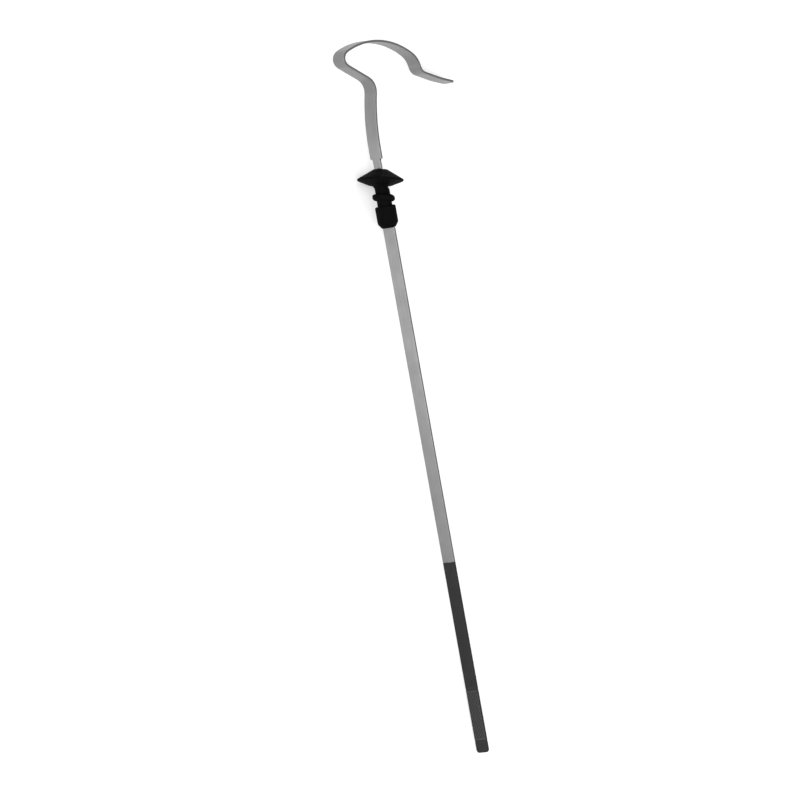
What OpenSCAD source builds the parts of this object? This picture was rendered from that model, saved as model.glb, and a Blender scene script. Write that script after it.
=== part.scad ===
// Engine oil dipstick: one flat steel strip with an open finger loop, and the rubber stopper that it is locked in.
// Each piece is drawn along Y, with the rim of the stopper's flange at y = 0, the handle towards +Y, the blade
// towards -Y, the loop's long side towards +X and the strip's width along Z. lay_down() then puts it on the ground.

/* [Strip] */
// Width of the strip
strip_w = 7; // [6:0.1:8]
// Thickness of the strip
strip_t = 1; // [0.6:0.05:1.3]
// Radius that rounds the corners at both ends of the strip
end_corner_r = 1.5; // [0.5:0.1:2.8]

/* [Blade] */
// From the rim of the stopper's flange to the tip of the blade
rim_to_tip = 245; // [150:1:400]
// Length of the blackened end, from the tip
black_l = 81.5; // [40:0.5:120]
// From the tip to the lower level mark
low_mark_y = 5; // [3:0.5:12]
// From the lower level mark to the upper one
level_span = 22; // [10:1:40]
// Width of a level mark
mark_w = 0.8; // [0.4:0.1:1.5]
// Depth of a level mark in each face
mark_depth = 0.12; // [0.05:0.01:0.2]

/* [Neck of the strip] */
// Width that is left of the strip inside the stopper
neck_w = 4.4; // [3.5:0.1:4.6]
// Bare neck above the stopper's crown
neck_bare = 4.6; // [2:0.1:8]
// Radius in the upper corners of the neck
neck_corner_r = 1.1; // [0.3:0.1:1.2]

/* [Handle bends] */
// Straight shank above the neck
shank_l = 4; // [2:0.5:30]
// Radius of the slight set at the top of the shank
set_r = 85; // [60:1:130]
// Turn of the slight set
set_turn = 16; // [5:0.5:20]
// Radius of the shoulder, where the strip leaves the shank
shoulder_r = 6; // [4:0.1:9]
// Turn of the shoulder
shoulder_turn = 72; // [60:0.5:80]
// Straight run from the shoulder to the heel
heel_run = 12.5; // [8:0.1:16]
// Radius of the heel, the tight bend of the loop
heel_r = 3.3; // [2.5:0.1:6]
// Turn of the heel
heel_turn = 127; // [118:0.5:132]
// Radius of the long back of the loop
back_r = 37; // [30:0.5:45]
// Turn of the long back
back_turn = 59.5; // [50:0.5:66]
// Radius of the loop's outer end
nose_r = 9.3; // [6:0.1:12]
// Turn of the loop's outer end
nose_turn = 43.5; // [36:0.5:50]
// Radius of the throat, where the strip turns out again
throat_r = 3.6; // [3:0.1:8]
// Turn of the throat
throat_turn = 59.5; // [50:0.5:66]
// Straight run of the flared foot
foot_run = 8.2; // [5:0.1:14]
// Radius of the foot's last sweep
foot_r = 24; // [18:0.5:60]
// Turn of the foot's last sweep
foot_turn = 5; // [2:0.5:16]
// Straight end of the foot
foot_end = 6.7; // [3:0.1:10]

/* [Stopper] */
// Diameter of the flange
flange_d = 19.6; // [16:0.1:26]
// Thickness of the flange's rim
rim_t = 0.8; // [0.6:0.1:1.4]
// Height of the crown above the rim
crown_h = 4.4; // [3.6:0.1:7]
// Diameter of the crown's flat top
crown_d = 6; // [5.8:0.1:7]
// Depth of the flange's underside below the rim
under_h = 2.4; // [1.5:0.1:3]
// Diameter of the flat part of the flange's underside
under_d = 9.6; // [8:0.1:12]
// Slant of the flange, and of the sealing lip below it, across the stem
flange_slant = 14; // [1:0.5:16]
// Diameter of the stem's neck
stem_d = 6.3; // [6.1:0.1:7]
// Length of the stem's neck, from the rim's middle to the top of the sealing lip
stem_neck_l = 6.1; // [5.6:0.1:9]
// Diameter over the sealing lip
lip_d = 9.5; // [9.1:0.1:11]
// Height of the sealing lip along the stem
lip_h = 3; // [2:0.1:4]
// Groove between the sealing lip and the barrel
groove_h = 2; // [1.2:0.1:3]
// Diameter of the barrel, which plugs the tube
barrel_d = 8.8; // [8.4:0.1:10.5]
// Length of the barrel's full diameter
barrel_l = 6.6; // [5:0.1:10]
// Chamfer at the top of the barrel
barrel_chamfer = 0.6; // [0.3:0.1:1]
// Length of the lead-in below the barrel
lead_l = 2.1; // [1.5:0.1:4]
// Diameter of the stem's lower end
stem_end_d = 5.8; // [5.6:0.1:6.8]

/* [Fit] */
// Clearance between the strip and the stopper, each side
slot_gap = 0.05; // [0.02:0.01:0.1]

/* [Hidden] */
$fn = 96;
overcut = 1;

// Heights on the stopper's stem, down from the rim
lip_mid = -stem_neck_l - lip_h / 2;
barrel_top = lip_mid - lip_h / 2 - groove_h;
barrel_full = barrel_top - barrel_chamfer;
barrel_end = barrel_full - barrel_l;
stem_end = barrel_end - lead_l;

// Heights on the strip
tip_y = -rim_to_tip;
black_y = tip_y + black_l;
seat_y = stem_end - slot_gap;
neck_top = crown_h + neck_bare;
shank_top = neck_top + shank_l;

// The handle, as [straight run, bend radius, turn]: a plus turn is to the loop's long side
HANDLE = [
    [0, set_r, set_turn],
    [0, shoulder_r, -shoulder_turn],
    [heel_run, heel_r, heel_turn],
    [0, back_r, back_turn],
    [0, nose_r, nose_turn],
    [0, throat_r, -throat_turn],
    [foot_run, foot_r, -foot_turn]
];
half_t = strip_t / 2;
half_w = strip_w / 2;

// Degrees to a facet: along a bend, round a corner of an end, and round the flange's rim
bend_step = 3;
corner_step = 5;
rim_step = 2;

// A pose on the strip's centreline is [x, y, heading], the heading turned from +Y towards +X
function ahead(p, l) = [p.x + l * sin(p.z), p.y + l * cos(p.z), p.z];
function around(p, r, turn) =
    let (side = sign(turn) * r, h = p.z + turn)
    [p.x + side * (cos(p.z) - cos(h)), p.y - side * (sin(p.z) - sin(h)), h];
function poses_after(p, i = 0) =
    i == len(HANDLE) ? [ahead(p, foot_end)] :
    let (run = HANDLE[i][0], r = HANDLE[i][1], turn = HANDLE[i][2],
         p1 = ahead(p, run), steps = ceil(abs(turn) / bend_step),
         arc = [for (k = [1:steps]) around(p1, r, turn * k / steps)])
    concat(run > 0 ? [p1] : [], arc, poses_after(arc[steps - 1], i + 1));

TIP = [0, tip_y, 0];
BLACK_EDGE = [0, black_y, 0];
SHANK_TOP = [0, shank_top, 0];
HANDLE_POSES = concat([SHANK_TOP], poses_after(SHANK_TOP));
FOOT_TIP = HANDLE_POSES[len(HANDLE_POSES) - 1];

// A point of the strip at a pose, t across its thickness and w across its width
function skin(p, t, w) = [p.x + t * cos(p.z), p.y - t * sin(p.z), w];
function skin_points(poses) = [for (p = poses, t = [-half_t, half_t], w = [-half_w, half_w]) skin(p, t, w)];

// The points round an end whose corners are rounded, dir = 1 where the strip ends ahead of it
function rounded_end(p, dir) = [
    for (a = [0:corner_step:90], t = [-half_t, half_t], side = [-1, 1])
        skin(ahead(p, -dir * end_corner_r * (1 - sin(a))), t, side * (half_w - end_corner_r * (1 - cos(a))))
];

HANDLE_POINTS = concat(skin_points([for (i = [0:len(HANDLE_POSES) - 2]) HANDLE_POSES[i]]),
                       rounded_end(FOOT_TIP, 1));
TIP_POINTS = rounded_end(TIP, -1);
RIM_POINTS = [for (a = [0:rim_step:360 - rim_step]) let (r = flange_d / 2)
    [r * cos(a) * cos(flange_slant), -r * cos(a) * sin(flange_slant), r * sin(a)]];

// A point after the roll about Y and then the pitch about X
function laid(p, pitch, roll) =
    let (x = p.x * cos(roll) + p.z * sin(roll), z = p.z * cos(roll) - p.x * sin(roll))
    [x, p.y * cos(pitch) - z * sin(pitch), p.y * sin(pitch) + z * cos(pitch)];
function lowest(points, pitch, roll) = min([for (p = points) laid(p, pitch, roll).z]);

// The strip rests on its tip, the flange's rim and the end of its foot: the pitch closes the gap under the tip
// and the roll the gap under the foot, over and over until both are nearly shut
rest_gap = 0.00001;
function settle(pitch = 0, roll = 0) =
    let (rim = lowest(RIM_POINTS, pitch, roll),
         tip_gap = lowest(TIP_POINTS, pitch, roll) - rim,
         foot_gap = lowest(HANDLE_POINTS, pitch, roll) - rim)
    max(abs(tip_gap), abs(foot_gap)) < rest_gap ? [pitch, roll] :
    settle(pitch + asin(tip_gap / rim_to_tip), roll + asin(foot_gap / FOOT_TIP.x));
REST = settle();

// The ground is under the lowest point, and the origin under the middle of the laid object
LAID = [for (p = concat(HANDLE_POINTS, TIP_POINTS, RIM_POINTS)) laid(p, REST[0], REST[1])];
function middle(v) = (min(v) + max(v)) / 2;
SHIFT = [-middle([for (p = LAID) p.x]), -middle([for (p = LAID) p.y]), -min([for (p = LAID) p.z])];

module lay_down() {
    translate(SHIFT) rotate([REST[0], REST[1], 0]) children();
}

// The strip along some poses: its outline on edge, up one face and back down the other, given its width
module strip_along(poses) {
    function face(t) = [for (p = poses) let (q = skin(p, t, 0)) [q.x, q.y]];
    back = face(half_t);
    linear_extrude(strip_w, center = true)
        polygon(concat(face(-half_t), [for (i = [len(back) - 1:-1:0]) back[i]]));
}

// Draws on a plane of z across and y along, cut through the strip's thickness
module through_strip() {
    rotate([0, -90, 0]) linear_extrude(strip_t + 2 * overcut, center = true) children();
}

// What is cut off the two corners of an end that points along +Y at y = 0
module end_corners() {
    for (side = [0, 1])
        mirror([0, 0, side]) translate([0, -end_corner_r, half_w - end_corner_r])
            through_strip() difference() {
                square(end_corner_r + overcut);
                circle(end_corner_r);
            }
}

// One side of the neck: square below, where it carries the stopper, and rounded above
module neck_notch() {
    inner = neck_w / 2;
    cut_w = half_w + overcut - inner;
    through_strip() {
        translate([inner, seat_y]) square([cut_w, neck_top - neck_corner_r - seat_y]);
        translate([inner + neck_corner_r, seat_y]) square([cut_w, neck_top - seat_y]);
        translate([inner + neck_corner_r, neck_top - neck_corner_r]) circle(neck_corner_r);
    }
}

// A level mark across both faces
module level_mark(y) {
    for (side = [1, -1])
        translate([side * half_t, y, 0]) cube([2 * mark_depth, mark_w, strip_w + 2 * overcut], center = true);
}

module blackened_end() {
    difference() {
        strip_along([TIP, BLACK_EDGE]);
        translate([0, tip_y, 0]) rotate([0, 0, 180]) end_corners();
        level_mark(tip_y + low_mark_y);
        level_mark(tip_y + low_mark_y + level_span);
    }
}

module bright_strip() {
    difference() {
        strip_along(concat([BLACK_EDGE], HANDLE_POSES));
        neck_notch();
        mirror([0, 0, 1]) neck_notch();
        translate([FOOT_TIP.x, FOOT_TIP.y, 0]) rotate([0, 0, -FOOT_TIP.z]) end_corners();
    }
}

module dipstick_strip() {
    lay_down() {
        color("#2b2c2e") blackened_end();
        color("#a9abad") bright_strip();
    }
}

// Outline of the flange, radius along x and height along y
module flange_outline() {
    rim_x = (flange_d - rim_t) / 2;
    polygon([[0, -under_h], [under_d / 2, -under_h], [rim_x, -rim_t / 2], [rim_x, rim_t / 2],
             [crown_d / 2, crown_h], [0, crown_h]]);
    translate([rim_x, 0]) circle(rim_t / 2);
}

// Outline of the sealing lip about its own middle
module lip_outline() {
    translate([(lip_d - lip_h) / 2, 0]) circle(lip_h / 2);
}

// Outline of the stem: neck, barrel and lead-in
module stem_outline() {
    translate([0, barrel_top - overcut]) square([stem_d / 2, -barrel_top + overcut]);
    polygon([[0, barrel_top], [barrel_d / 2 - barrel_chamfer, barrel_top], [barrel_d / 2, barrel_full],
             [barrel_d / 2, barrel_end], [stem_end_d / 2, stem_end], [0, stem_end]]);
}

// Turns an outline of radius and height about the Y axis
module turned() {
    rotate([-90, 0, 0]) rotate_extrude() children();
}

// The same, slanted across the stem
module slanted() {
    rotate([0, 0, -flange_slant]) turned() children();
}

module stopper() {
    slot_l = crown_h - stem_end + 2 * overcut;
    slot_y = (crown_h + stem_end) / 2;
    color("#141414") lay_down() difference() {
        union() {
            slanted() flange_outline();
            translate([0, lip_mid, 0]) slanted() lip_outline();
            turned() stem_outline();
        }
        translate([0, slot_y, 0])
            cube([strip_t + 2 * slot_gap, slot_l, neck_w + 2 * slot_gap], center = true);
    }
}

dipstick_strip();
stopper();
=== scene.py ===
"""Looks of an engine oil dipstick: a plated steel strip with a finger loop, and the rubber stopper on it.

Lengths are in millimetres and angles in degrees until lay_down() puts points in the row frame, in metres.
Each piece is worked out straight first: y along the rod, the rim of the stopper's flange at y = 0, the handle
towards +y, the loop's long side towards +x and the strip's width along z.
"""

import bmesh
import bpy
import numpy as np
from mathutils import Matrix


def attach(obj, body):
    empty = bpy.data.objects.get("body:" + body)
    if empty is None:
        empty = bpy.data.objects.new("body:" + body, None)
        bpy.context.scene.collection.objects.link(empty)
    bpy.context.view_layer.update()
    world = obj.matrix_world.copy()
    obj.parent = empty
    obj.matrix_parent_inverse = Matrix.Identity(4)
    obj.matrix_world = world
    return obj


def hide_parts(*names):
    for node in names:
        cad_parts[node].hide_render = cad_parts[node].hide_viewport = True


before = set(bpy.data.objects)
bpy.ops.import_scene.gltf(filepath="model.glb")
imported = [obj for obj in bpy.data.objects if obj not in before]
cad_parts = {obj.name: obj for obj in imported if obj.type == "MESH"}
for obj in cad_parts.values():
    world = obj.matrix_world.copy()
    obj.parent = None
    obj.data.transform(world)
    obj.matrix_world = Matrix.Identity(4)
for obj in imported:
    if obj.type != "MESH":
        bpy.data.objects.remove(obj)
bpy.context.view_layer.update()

# Strip
STRIP_W = 7.0
STRIP_T = 1.0
STRIP_EDGE_R = 0.2
END_CORNER_R = 1.5
RIM_TO_TIP = 245.0
BLACK_L = 81.5
LOW_MARK = 5.0
LEVEL_SPAN = 22.0
MARK_W = 0.8
MARK_DEPTH = 0.12
HATCH_PITCH = 1.7
HATCH_LINE_W = 0.5
HATCH_DEPTH = 0.1
HATCH_CLEAR = 0.9

# Neck of the strip
NECK_W = 4.4
NECK_BARE = 4.6
NECK_CORNER_R = 1.1
SLOT_GAP = 0.05

# Handle, as (straight run, bend radius, turn): a plus turn is to the loop's long side
SHANK_L = 4.0
HANDLE_BENDS = [
    (0.0, 85.0, 16.0),
    (0.0, 6.0, -72.0),
    (12.5, 3.3, 127.0),
    (0.0, 37.0, 59.5),
    (0.0, 9.3, 43.5),
    (0.0, 3.6, -59.5),
    (8.2, 24.0, -5.0),
]
FOOT_END = 6.7
BEND_BLEND = 1.2
SETTLE_ROUNDS = 30

# Stopper
FLANGE_D = 19.6
RIM_T = 0.8
CROWN_H = 4.4
CROWN_D = 6.0
UNDER_H = 2.4
UNDER_D = 9.6
FLANGE_SLANT = 14.0
STEM_D = 6.3
STEM_NECK_L = 6.1
LIP_D = 9.5
LIP_H = 3.0
GROOVE_H = 2.0
BARREL_D = 8.8
BARREL_L = 6.6
BARREL_CHAMFER = 0.6
LEAD_L = 2.1
STEM_END_D = 5.8
SLOT_SINK = 0.5
SLOT_EDGE = 0.16
SLOT_EDGE_OFF = 0.02
POLE_R = 0.15

# Places that follow from these
LIP_MID = -STEM_NECK_L - LIP_H / 2
BARREL_TOP = LIP_MID - LIP_H / 2 - GROOVE_H
BARREL_END = BARREL_TOP - BARREL_CHAMFER - BARREL_L
STEM_END = BARREL_END - LEAD_L
SEAT_S = RIM_TO_TIP + STEM_END - SLOT_GAP
NECK_TOP_S = RIM_TO_TIP + CROWN_H + NECK_BARE
SHANK_TOP_S = NECK_TOP_S + SHANK_L
HALF_W = STRIP_W / 2
HALF_T = STRIP_T / 2


# The strip's centreline

def heading_knots():
    """Distance from the tip and heading at the ends of every straight run and bend: a bend adds its turn
    over a length of its radius times its angle."""
    s, h = [0.0, SHANK_TOP_S], [0.0, 0.0]
    for run, radius, turn in HANDLE_BENDS:
        s.append(s[-1] + run + 1e-6)
        h.append(h[-1])
        s.append(s[-1] + radius * np.radians(abs(turn)))
        h.append(h[-1] + turn)
    return np.array(s), np.array(h), s[-1] + FOOT_END


KNOT_S, KNOT_H, STRIP_L = heading_knots()


def centreline(step=0.02, samples=15):
    """x, y and heading every step along the strip: the heading runs evenly between its knots, averaged over
    a short stretch so that each bend eases in, and its sine and cosine are summed into x and y."""
    s = np.arange(0.0, STRIP_L + step, step)
    spread = np.linspace(-BEND_BLEND, BEND_BLEND, samples)
    h = np.radians(np.interp(s[:, None] + spread, KNOT_S, KNOT_H).mean(axis=1))
    mid = (h[1:] + h[:-1]) / 2
    x = np.concatenate([[0.0], np.cumsum(np.sin(mid) * step)])
    y = np.concatenate([[0.0], np.cumsum(np.cos(mid) * step)]) - RIM_TO_TIP
    return s, x, y, h


LINE_S, LINE_X, LINE_Y, LINE_H = centreline()


def on_strip(s, t, w):
    """Straight-frame points at distance s from the tip, t across the thickness and w across the width: the
    centreline's point, moved by t square to the heading and by w along z."""
    h = np.interp(s, LINE_S, LINE_H)
    x = np.interp(s, LINE_S, LINE_X) + t * np.cos(h)
    y = np.interp(s, LINE_S, LINE_Y) - t * np.sin(h)
    return np.stack(np.broadcast_arrays(x, y, w), axis=-1)


def half_width(s):
    """Half the strip's width at s: full, and narrowed to the neck between the seat and the neck's top, with a
    round of NECK_CORNER_R there."""
    inner = NECK_W / 2
    into_round = np.clip(s - (NECK_TOP_S - NECK_CORNER_R), 0.0, NECK_CORNER_R)
    neck = inner + NECK_CORNER_R - np.sqrt(NECK_CORNER_R ** 2 - into_round ** 2)
    return np.where((s > SEAT_S) & (s < NECK_TOP_S), np.minimum(neck, HALF_W), HALF_W)


# How the dipstick lies: on the tip, the flange's rim and the foot's end

def rolled(p, roll):
    """Points turned about y by the roll: x and z are mixed by its cosine and sine, and y stays."""
    c, s = np.cos(np.radians(roll)), np.sin(np.radians(roll))
    return np.stack([p[..., 0] * c + p[..., 2] * s, p[..., 1], p[..., 2] * c - p[..., 0] * s], axis=-1)


def pitched(p, pitch):
    """Points turned about x by the pitch: y and z are mixed by its cosine and sine, and x stays."""
    c, s = np.cos(np.radians(pitch)), np.sin(np.radians(pitch))
    return np.stack([p[..., 0], p[..., 1] * c - p[..., 2] * s, p[..., 1] * s + p[..., 2] * c], axis=-1)


def resting():
    """Pitch, roll and shift at rest, worked out as the solids' were, for the roll before the pitch: the pitch
    closes the gap under the tip and the roll the gap under the foot, over and over, and the shift centres the
    box over the origin with its lowest point on the ground."""
    corner = np.radians(np.arange(0.0, 91.0, 5.0))[:, None, None]
    t, side = np.array([-HALF_T, HALF_T])[:, None], np.array([-1.0, 1.0])
    inset = END_CORNER_R * (1 - np.sin(corner))
    w = side * (HALF_W - END_CORNER_R * (1 - np.cos(corner)))
    tip = on_strip(inset, t, w).reshape(-1, 3)
    body = on_strip(np.linspace(SHANK_TOP_S, STRIP_L - END_CORNER_R, 400)[:, None, None], t, side * HALF_W)
    handle = np.concatenate([body.reshape(-1, 3), on_strip(STRIP_L - inset, t, w).reshape(-1, 3)])
    a, slant = np.radians(np.arange(0.0, 360.0, 2.0)), np.radians(FLANGE_SLANT)
    rim = FLANGE_D / 2 * np.stack([np.cos(a) * np.cos(slant), -np.cos(a) * np.sin(slant), np.sin(a)], axis=-1)
    foot_x = handle[:, 0].max()
    pitch = roll = 0.0
    for _ in range(SETTLE_ROUNDS):
        low_rim, low_tip, low_foot = (pitched(rolled(p, roll), pitch)[:, 2].min() for p in (rim, tip, handle))
        pitch += np.degrees(np.arcsin((low_tip - low_rim) / RIM_TO_TIP))
        roll += np.degrees(np.arcsin((low_foot - low_rim) / foot_x))
    laid = pitched(rolled(np.concatenate([tip, handle, rim]), roll), pitch)
    low, high = laid.min(axis=0), laid.max(axis=0)
    return pitch, roll, np.array([-(low[0] + high[0]) / 2, -(low[1] + high[1]) / 2, -low[2]])


PITCH, ROLL, SHIFT = resting()


def turn_down(p):
    """Points turned as the solids lie: the pitch comes first, and then the roll."""
    return rolled(pitched(p, PITCH), ROLL)


def lay_down(p):
    """Straight-frame points in millimetres, laid on the ground in the row frame, in metres."""
    return (turn_down(p) + SHIFT) * 0.001


# Meshes

SAME_POINT = 1e-7


def closed_tube(name, rings, material, attributes=()):
    """A piece from a grid of rings, each a closed loop of points: quads join each ring to the next, and a fan
    to its middle closes each end. An attribute is a name and its values on the grid: one number or three.
    Points nearer than SAME_POINT, in metres, become one, and all faces are turned outwards."""
    n, m = rings.shape[:2]
    verts = np.concatenate([rings.reshape(-1, 3), [rings[0].mean(axis=0), rings[-1].mean(axis=0)]])
    i, j = np.meshgrid(np.arange(n - 1), np.arange(m), indexing="ij")
    k = (j + 1) % m
    quads = np.stack([i * m + j, i * m + k, (i + 1) * m + k, (i + 1) * m + j], axis=-1).reshape(-1, 4)
    a = np.arange(m)
    b = (a + 1) % m
    first = np.stack([np.full(m, n * m), b, a], axis=-1)
    last = np.stack([np.full(m, n * m + 1), (n - 1) * m + a, (n - 1) * m + b], axis=-1)
    faces = quads.tolist() + first.tolist() + last.tolist()
    mesh = bpy.data.meshes.new(name)
    mesh.from_pydata(verts.tolist(), [], faces)
    mesh.polygons.foreach_set("use_smooth", np.ones(len(faces), dtype=bool))
    for label, values in attributes:
        size = values.shape[-1]
        ends = np.array([values[0].mean(axis=0), values[-1].mean(axis=0)])
        data = np.concatenate([values.reshape(-1, size), ends])
        layer = mesh.attributes.new(label, "FLOAT_VECTOR" if size == 3 else "FLOAT", "POINT")
        layer.data.foreach_set("vector" if size == 3 else "value", data.astype(np.float32).ravel())
    mesh.materials.append(material)
    whole = bmesh.new()
    whole.from_mesh(mesh)
    bmesh.ops.remove_doubles(whole, verts=whole.verts, dist=SAME_POINT)
    bmesh.ops.recalc_face_normals(whole, faces=whole.faces)
    whole.to_mesh(mesh)
    whole.free()
    mesh.update()
    piece = bpy.data.objects.new(name, mesh)
    bpy.context.scene.collection.objects.link(piece)
    return piece


def section(across=41, round_steps=4):
    """The strip's section as core factors and outward directions, once round: a flat face, a quarter round,
    a narrow edge, and so on. A point is its core factor times the half size less the edge's radius, plus the
    radius along its direction."""
    f = np.linspace(-1.0, 1.0, across)
    e = np.linspace(1.0, -1.0, 3)
    a = np.radians(np.linspace(0.0, 90.0, round_steps + 2)[1:-1])
    ones, zero_f, zero_e = np.ones_like(a), np.zeros_like(f), np.zeros_like(e)
    ca, sa = np.cos(a), np.sin(a)
    tc = np.concatenate([zero_f + 1, ones, e, -ones, zero_f - 1, -ones, -e, ones])
    wc = np.concatenate([f, ones, zero_e + 1, ones, -f, -ones, zero_e - 1, -ones])
    tn = np.concatenate([zero_f + 1, ca, zero_e, -sa, zero_f - 1, -ca, zero_e, sa])
    wn = np.concatenate([zero_f, sa, zero_e + 1, ca, zero_f, -sa, zero_e - 1, -ca])
    return tc, wc, tn, wn


def stations():
    """Distances from the tip at which the strip gets a ring between its end corners: close together at the
    level marks, the hatching, the neck's steps and the bends, and few along the straight rod."""
    marks_end = LOW_MARK + LEVEL_SPAN + 2 * MARK_W
    dense = np.arange(END_CORNER_R + 0.12, marks_end, 0.12)
    rod = np.linspace(marks_end + 1.0, SEAT_S - 1.0, 60)
    seat = SEAT_S + np.array([-0.25, -0.03, 0.0, 0.03, 0.25])
    neck = np.linspace(SEAT_S + 1.0, NECK_TOP_S - NECK_CORNER_R, 12)
    fillet = NECK_TOP_S - NECK_CORNER_R * (1 - np.sin(np.radians(np.linspace(10.0, 90.0, 9))))
    step = NECK_TOP_S + np.array([0.0, 0.03, 0.25])
    bends = np.arange(NECK_TOP_S + 1.0, STRIP_L - END_CORNER_R - 0.1, 0.35)
    return np.unique(np.concatenate([dense, rod, seat, neck, fillet, step, bends]))


def end_rings(face_steps=4, corner_steps=14):
    """The rings of an end, from its face inwards: the core's distance from the end, its half width, the
    outline's turn away from the strip's side, and the share of the round edge that is left. The core is the
    outline less the edge's radius, a quarter circle at each corner, and on the end's face the share grows by
    a cosine."""
    turn = np.radians(np.concatenate([np.full(face_steps, 90.0), np.linspace(90.0, 0.0, corner_steps)]))
    core_r = END_CORNER_R - STRIP_EDGE_R
    drawn = np.cos(np.radians(np.linspace(90.0, 0.0, face_steps, endpoint=False)))
    return (END_CORNER_R - core_r * np.sin(turn), HALF_W - END_CORNER_R + core_r * np.cos(turn), turn,
            np.concatenate([drawn, np.ones(corner_steps)]))


def pressed_in(s, w):
    """Depth of what is pressed into both faces: a flat-bottomed level mark at each end of the measuring
    zone, and between them two sets of lines that cross at 45 degrees, each with the form of a rounded V."""
    high = LOW_MARK + LEVEL_SPAN
    near = np.minimum(abs(s - LOW_MARK), abs(s - high))
    mark = MARK_DEPTH * np.clip((MARK_W / 2 + 0.06 - near) / 0.12, 0.0, 1.0)
    lines = []
    for lean in (s + w, s - w):
        off = abs((lean / HATCH_PITCH) % 1.0 - 0.5) * HATCH_PITCH / np.sqrt(2)
        lines.append(np.clip(1 - off / (HATCH_LINE_W / 2), 0.0, 1.0))
    inside = np.minimum(np.minimum(s - LOW_MARK, high - s), HALF_W - abs(w) + 0.5)
    hatch = HATCH_DEPTH * np.maximum(*lines) * np.clip((inside - HATCH_CLEAR) / 0.15, 0.0, 1.0)
    return np.maximum(mark, hatch)


def dipstick_strip(material):
    """The whole strip: its section at every station, with the half width of that place and the pressed marks,
    between two ends whose round edge turns with the outline. A point is the core's, plus the edge's radius
    across the outline, which is split into along and across by the outline's turn."""
    body = stations()
    gap, end_w, turn, drawn = end_rings()
    s = np.concatenate([gap, body, STRIP_L - gap[::-1]])[:, None]
    core_w = np.concatenate([end_w, half_width(body) - STRIP_EDGE_R, end_w[::-1]])[:, None]
    turn = np.concatenate([-turn, 0 * body, turn[::-1]])[:, None]
    drawn = np.concatenate([drawn, 0 * body + 1, drawn[::-1]])[:, None]
    tc, wc, tn, wn = section()
    s = s + STRIP_EDGE_R * np.sin(turn) * np.sqrt(1 - (tn * drawn) ** 2)
    w = wc * core_w + wn * STRIP_EDGE_R * np.cos(turn)
    t = tc * (HALF_T - STRIP_EDGE_R) + tn * STRIP_EDGE_R * drawn
    t = t - tn * pressed_in(s, w)
    place = np.stack(np.broadcast_arrays(s, w, t), axis=-1)
    # The bend rate is carried as an attribute for the painted shade at the bends.
    bend = np.interp(s, LINE_S, abs(np.gradient(np.degrees(LINE_H), LINE_S)))
    bend = np.broadcast_to(bend, w.shape)[..., None]
    return closed_tube("dipstick_strip_plated", lay_down(on_strip(s, t, w)), material,
                       [("strip_place", place), ("strip_bend", bend)])


def unit(v):
    """The direction of v, with a length of 1."""
    return v / np.linalg.norm(v)


def rounded_profile(corners, step=0.12):
    """Radius and height along a turned outline: straight stretches between corners, each corner replaced by
    an arc of its own radius that touches both stretches."""
    corners = np.array(corners, dtype=float)
    points = corners[:, :2]
    path = [points[0]]
    for before, here, after, radius in zip(points[:-2], points[1:-1], points[2:], corners[1:-1, 2]):
        d1, d2 = unit(before - here), unit(after - here)
        half = np.arccos(np.clip(d1 @ d2, -1, 1)) / 2
        centre = here + unit(d1 + d2) * radius / np.sin(half)
        start, end = here + d1 * radius / np.tan(half), here + d2 * radius / np.tan(half)
        a0, a1 = (np.arctan2(*(p - centre)[::-1]) for p in (start, end))
        sweep = (a1 - a0 + np.pi) % (2 * np.pi) - np.pi
        a = a0 + sweep * np.linspace(0.0, 1.0, max(4, int(abs(sweep) * radius / step) + 2))
        path.extend(centre + radius * np.stack([np.cos(a), np.sin(a)], axis=-1))
    path.append(points[-1])
    path = np.array(path)
    run = np.concatenate([[0.0], np.cumsum(np.linalg.norm(np.diff(path, axis=0), axis=1))])
    extra = np.arange(0.0, run[-1], 0.45)
    at = np.unique(np.round(np.concatenate([run, extra]), 3))
    return np.interp(at, run, path[:, 0]), np.interp(at, run, path[:, 1])


def eased(value, low, high):
    """0 up to low and 1 from high, with a smooth S between."""
    f = np.clip((value - low) / (high - low), 0.0, 1.0)
    return f * f * (3 - 2 * f)


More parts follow.
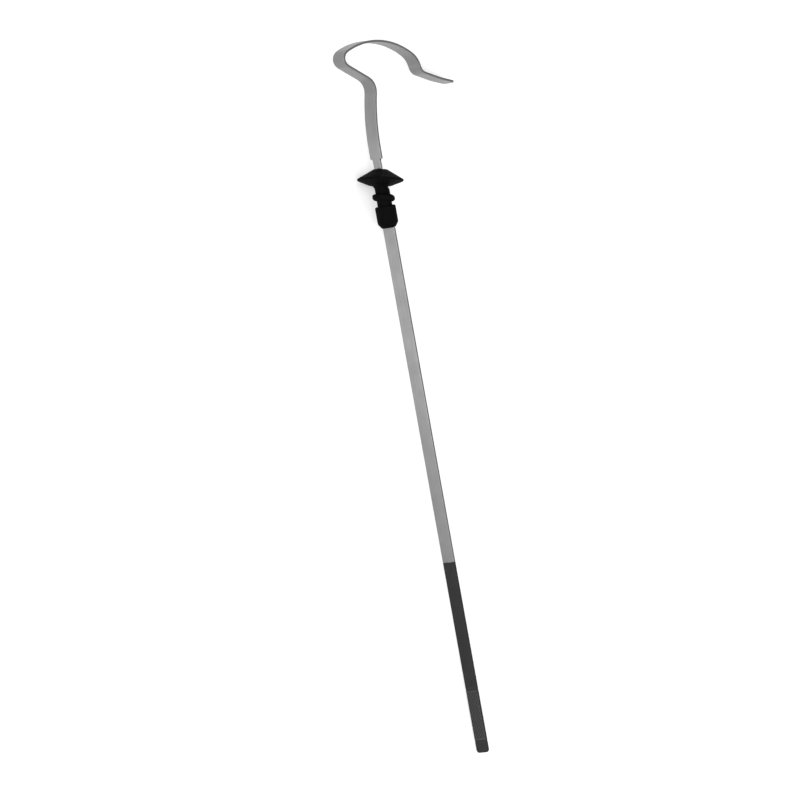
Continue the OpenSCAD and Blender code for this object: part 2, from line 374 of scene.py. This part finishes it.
def stopper(material, around=144):
    """The stopper: its outline, as radius, height and corner radius, turned about y. The flange is tilted
    about the rim's middle and each ring down to the groove about its own, and both ends are sunk at the
    slot."""
    lip_r, stem_r, barrel_r = LIP_D / 2, STEM_D / 2, BARREL_D / 2
    groove_top = LIP_MID - LIP_H / 2
    radius, height = rounded_profile([
        (POLE_R, CROWN_H, 0),
        (CROWN_D / 2, CROWN_H, 0.9),
        (FLANGE_D / 2, RIM_T / 2 - 0.1, 0.32),
        (FLANGE_D / 2, -RIM_T / 2, 0.4),
        (UNDER_D / 2, -UNDER_H, 1.5),
        (stem_r, -UNDER_H, 0.7),
        (stem_r, LIP_MID + LIP_H / 2 + 0.1, 0.3),
        (lip_r, LIP_MID + 1.0, 1.1),
        (lip_r, LIP_MID - 1.0, 1.1),
        (stem_r, groove_top - 0.1, 0.3),
        (stem_r, BARREL_TOP, 0.3),
        (barrel_r, BARREL_TOP - 0.05, 0.55),
        (barrel_r, BARREL_END, 1.6),
        (STEM_END_D / 2, STEM_END, 0.9),
        (POLE_R, STEM_END, 0),
    ])
    a = np.radians(np.arange(around) * 360.0 / around)
    x, z = radius[:, None] * np.cos(a), radius[:, None] * np.sin(a)
    y = height[:, None] + 0 * x
    out = np.maximum(abs(x) - (HALF_T + SLOT_GAP), abs(z) - (NECK_W / 2 + SLOT_GAP))
    sink = SLOT_SINK * np.clip((SLOT_EDGE_OFF + SLOT_EDGE - out) / SLOT_EDGE, 0.0, 1.0)
    on_top, on_bottom = height[:, None] > CROWN_H - 0.05, height[:, None] < STEM_END + 0.05
    y = y - np.where(on_top, sink, 0) + np.where(on_bottom, sink, 0)
    tilt = np.radians(FLANGE_SLANT) * eased(height, BARREL_TOP + 0.3, groove_top - 0.1)[:, None]
    offset = eased(height, -UNDER_H - 1.6, -UNDER_H)[:, None] * y
    points = np.stack([x * np.cos(tilt) + offset * np.sin(tilt),
                       y - offset * (1 - np.cos(tilt)) - x * np.sin(tilt), z], axis=-1)
    return closed_tube("stopper_rubber", lay_down(points), material)


# Materials

class Nodes:
    """The nodes of one material or world, added and linked by the names of their sockets. A socket's name
    has _ for a space, and i with a number stands for the socket in that place."""

    def __init__(self, owner):
        owner.use_nodes = True
        self.tree = owner.node_tree
        self.tree.nodes.clear()

    def add(self, kind, settings=None, **sockets):
        """A node with its settings, and each named socket given a value or linked to another's output."""
        node = self.tree.nodes.new("ShaderNode" + kind)
        for key, value in (settings or {}).items():
            setattr(node, key, value)
        for key, value in sockets.items():
            by_place = key[0] == "i" and key[1:].isdigit()
            socket = node.inputs[int(key[1:]) if by_place else key.replace("_", " ")]
            if isinstance(value, bpy.types.NodeSocket):
                self.tree.links.new(value, socket)
            else:
                socket.default_value = value
        return node

    def math(self, operation, a, b=0.0):
        """The result of one operation on two values."""
        return self.add("Math", {"operation": operation}, i0=a, i1=b).outputs[0]

    def ease(self, value, low, high, to_low=0.0, to_high=1.0):
        """Runs smoothly from to_low to to_high while value goes from low to high."""
        node = self.add("MapRange", {"interpolation_type": "SMOOTHSTEP"}, Value=value, From_Min=low,
                        From_Max=high, To_Min=to_low, To_Max=to_high)
        return node.outputs["Result"]

    def mix(self, factor, a, b):
        """Colour a, gone over to colour b by the factor."""
        node = self.add("Mix", {"data_type": "RGBA"}, i0=factor, i6=a, i7=b)
        return node.outputs[2]

    def noise(self, vector, scale, detail=3.0, roughness=0.5):
        """Cloudy values about 0.5, with scale lumps to each unit of the vector."""
        node = self.add("TexNoise", None, Vector=vector, Scale=scale, Detail=detail, Roughness=roughness)
        return node.outputs[0]


def grey(value):
    """A neutral grey."""
    return (value, value, value, 1.0)


def plated_steel():
    """Dull bright plating with fine lines rolled along the strip, blackened from a sharp line to the tip, and
    rubbed lighter on the hatching between the level marks. The handle, the bends and the strip's narrow edges
    get painted shade: a darker colour that stands for shade and darker reflections."""
    material = bpy.data.materials.new("plated_and_blackened_steel")
    n = Nodes(material)
    place = n.add("Attribute", {"attribute_name": "strip_place"}).outputs["Vector"]
    parts = n.add("SeparateXYZ", None, Vector=place)
    along = parts.outputs["X"]
    spot = n.add("TexCoord").outputs["Object"]
    drawn = n.add("Mapping", None, Vector=place, Scale=(0.035, 2.2, 0.6)).outputs["Vector"]
    lines = n.noise(drawn, 2.0, 5.0, 0.65)
    cloud = n.noise(spot, 110.0, 3.0)
    speck = n.noise(spot, 1500.0, 2.0)

    ragged = n.math("MULTIPLY", n.math("SUBTRACT", n.noise(place, 1.6, 2.0), 0.5), 0.7)
    bright = n.ease(n.math("ADD", along, ragged), BLACK_L - 0.15, BLACK_L + 0.15)

    tone = n.math("ADD", n.math("MULTIPLY", lines, 0.6), n.math("MULTIPLY", cloud, 0.4))
    plating = n.mix(n.ease(tone, 0.35, 0.65), grey(0.325), grey(0.415))
    worn = n.ease(along, BLACK_L + 10.0, BLACK_L + 95.0)
    plating = n.mix(worn, n.mix(0.5, plating, grey(0.2)), plating)
    thick = n.math("ABSOLUTE", parts.outputs["Z"])
    # Painted shade: the handle is mixed towards grey 0.17, which stands for the darker reflections it shows.
    handle_painted_shade = n.ease(along, NECK_TOP_S, SHANK_TOP_S + 12.0, 0.0, 0.4)
    plating = n.mix(handle_painted_shade, plating, grey(0.17))
    # Painted shade at the bends: the sharper the bend, the darker the colour, which stands for the darker
    # reflections there.
    bend_shade_rate = n.add("Attribute", {"attribute_name": "strip_bend"}).outputs["Fac"]
    plating = n.mix(n.ease(bend_shade_rate, 2.0, 9.0, 0.0, 0.15), plating, grey(0.1))
    # Painted shade on the narrow edges: away from the faces the colour goes darker, which stands for the
    # shade on the edges.
    plating = n.mix(n.ease(thick, HALF_T - 0.2, HALF_T - 0.06, 0.7, 0.0), plating, grey(0.13))

    blackened = n.mix(n.ease(cloud, 0.35, 0.7), grey(0.007), grey(0.014))
    zone = n.math("MULTIPLY", n.ease(along, LOW_MARK - 1.2, LOW_MARK + 0.6),
                  n.ease(along, LOW_MARK + LEVEL_SPAN - 0.6, LOW_MARK + LEVEL_SPAN + 1.2, 1.0, 0.0))
    crest = n.ease(thick, HALF_T - HATCH_DEPTH * 0.7, HALF_T - 0.005)
    rubbed = n.math("MULTIPLY", zone, n.math("MULTIPLY", crest, n.ease(speck, 0.3, 0.6, 0.6, 1.0)))
    blackened = n.mix(rubbed, blackened, grey(0.05))

    rough_bright = n.ease(lines, 0.3, 0.7, 0.3, 0.42)
    rough_black = n.ease(cloud, 0.3, 0.7, 0.42, 0.55)
    roughness = n.math("ADD", n.math("MULTIPLY", bright, rough_bright),
                       n.math("MULTIPLY", n.math("SUBTRACT", 1.0, bright), rough_black))
    height = n.math("ADD", n.math("MULTIPLY", lines, 0.7), n.math("MULTIPLY", speck, 0.3))
    bump = n.add("Bump", None, Strength=0.25, Distance=0.00004, Height=height).outputs["Normal"]
    shader = n.add("BsdfPrincipled", None, Base_Color=n.mix(bright, blackened, plating), Roughness=roughness,
                   Metallic=n.ease(bright, 0.0, 1.0, 0.35, 1.0), Normal=bump)
    n.add("OutputMaterial", None, Surface=shader.outputs[0])
    return material


def moulded_rubber():
    """Black moulded rubber: a faint bloom in soft clouds, and a fine skin from the mould."""
    material = bpy.data.materials.new("moulded_black_rubber")
    n = Nodes(material)
    spot = n.add("TexCoord").outputs["Object"]
    cloud = n.noise(spot, 160.0, 4.0, 0.6)
    skin = n.noise(spot, 1800.0, 3.0)
    colour = n.mix(n.ease(cloud, 0.4, 0.75), grey(0.003), grey(0.005))
    bump = n.add("Bump", None, Strength=0.2, Distance=0.00005, Height=skin).outputs["Normal"]
    shader = n.add("BsdfPrincipled", None, Base_Color=colour, Roughness=n.ease(cloud, 0.3, 0.7, 0.5, 0.66),
                   Normal=bump)
    shader.inputs["Specular IOR Level"].default_value = 0.02
    n.add("OutputMaterial", None, Surface=shader.outputs[0])
    return material


def white_floor():
    """White sheet that keeps the shadow, lifted a little where the camera sees it."""
    material = bpy.data.materials.new("white_sheet")
    n = Nodes(material)
    sheet = n.add("BsdfDiffuse", None, Color=grey(0.9))
    seen = n.add("LightPath")
    lift = n.add("Emission", None, Strength=n.math("MULTIPLY", seen.outputs["Is Camera Ray"], 0.25))
    both = n.add("AddShader", None, i0=sheet.outputs[0], i1=lift.outputs[0])
    n.add("OutputMaterial", None, Surface=both.outputs[0])
    return material


strip = dipstick_strip(plated_steel())
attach(strip, "root")
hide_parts("dipstick_strip")

rubber = stopper(moulded_rubber())
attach(rubber, "root")
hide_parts("stopper")


# Floor, light and camera

def add_floor(reach=3.0):
    """A square white sheet on the ground, out to reach on every side."""
    mesh = bpy.data.meshes.new("floor")
    corners = [(-reach, -reach, 0), (reach, -reach, 0), (reach, reach, 0), (-reach, reach, 0)]
    mesh.from_pydata(corners, [], [(0, 1, 2, 3)])
    mesh.materials.append(white_floor())
    floor = bpy.data.objects.new("floor", mesh)
    bpy.context.scene.collection.objects.link(floor)


def add_lamp(name, place, size, watts):
    """A square soft lamp at place, facing the origin."""
    lamp = bpy.data.lights.new(name, "AREA")
    lamp.shape = "SQUARE"
    lamp.size = size
    lamp.energy = watts
    thing = bpy.data.objects.new(name, lamp)
    z = unit(np.array(place))
    x = unit(np.cross((0.0, 1.0, 0.0), z))
    y = np.cross(z, x)
    turn = np.eye(4)
    turn[:3, 0], turn[:3, 1], turn[:3, 2], turn[:3, 3] = x, y, z, place
    thing.matrix_world = Matrix(turn.tolist())
    bpy.context.scene.collection.objects.link(thing)


def add_camera():
    """The camera at the photograph's angle: face_turn from the plane of the strip's faces, leaned back
    towards the handle by handle_tilt, and rolled by picture_lean so that the rod leans in the picture. The
    middle of the flange's rim falls on the pixel rim_at, and the distance is long, for a flat picture."""
    face_turn, handle_tilt, picture_lean = np.radians([42.0, 3.5, 10.2])
    mm_per_pixel, pixels, distance = 0.42, 800, 9000.0
    rim_at = (380.4, 180.0)
    cf, sf, ct, st = np.cos(face_turn), np.sin(face_turn), np.cos(handle_tilt), np.sin(handle_tilt)
    right0, up0 = np.array([cf, 0.0, sf]), np.array([st * sf, ct, -st * cf])
    back = np.array([-sf * ct, st, cf * ct])
    right = right0 * np.cos(picture_lean) - up0 * np.sin(picture_lean)
    up = right0 * np.sin(picture_lean) + up0 * np.cos(picture_lean)
    centre = (right * (pixels / 2 - rim_at[0]) + up * (rim_at[1] - pixels / 2)) * mm_per_pixel
    axes = turn_down(np.array([right, up, back]))
    camera = bpy.data.cameras.new("camera")
    camera.sensor_width = 36.0
    camera.lens = camera.sensor_width * distance / (pixels * mm_per_pixel)
    camera.clip_start, camera.clip_end = 0.1, 60.0
    thing = bpy.data.objects.new("camera", camera)
    turn = np.eye(4)
    turn[:3, :3] = axes.T
    turn[:3, 3] = lay_down(centre + back * distance)
    thing.matrix_world = Matrix(turn.tolist())
    bpy.context.scene.collection.objects.link(thing)
    bpy.context.scene.camera = thing


def add_world(strength):
    """Even pale light from all round."""
    world = bpy.data.worlds.new("pale_room")
    n = Nodes(world)
    sky = n.add("Background", None, Color=grey(1.0), Strength=strength)
    n.add("OutputWorld", None, Surface=sky.outputs[0])
    bpy.context.scene.world = world


add_floor()
add_world(0.72)
add_lamp("key", (-0.78, 0.12, 1.2), 1.2, 11.0)
add_lamp("fill", (0.4, -0.9, 1.1), 1.2, 3.0)
add_camera()
bpy.context.scene.view_settings.view_transform = "Standard"
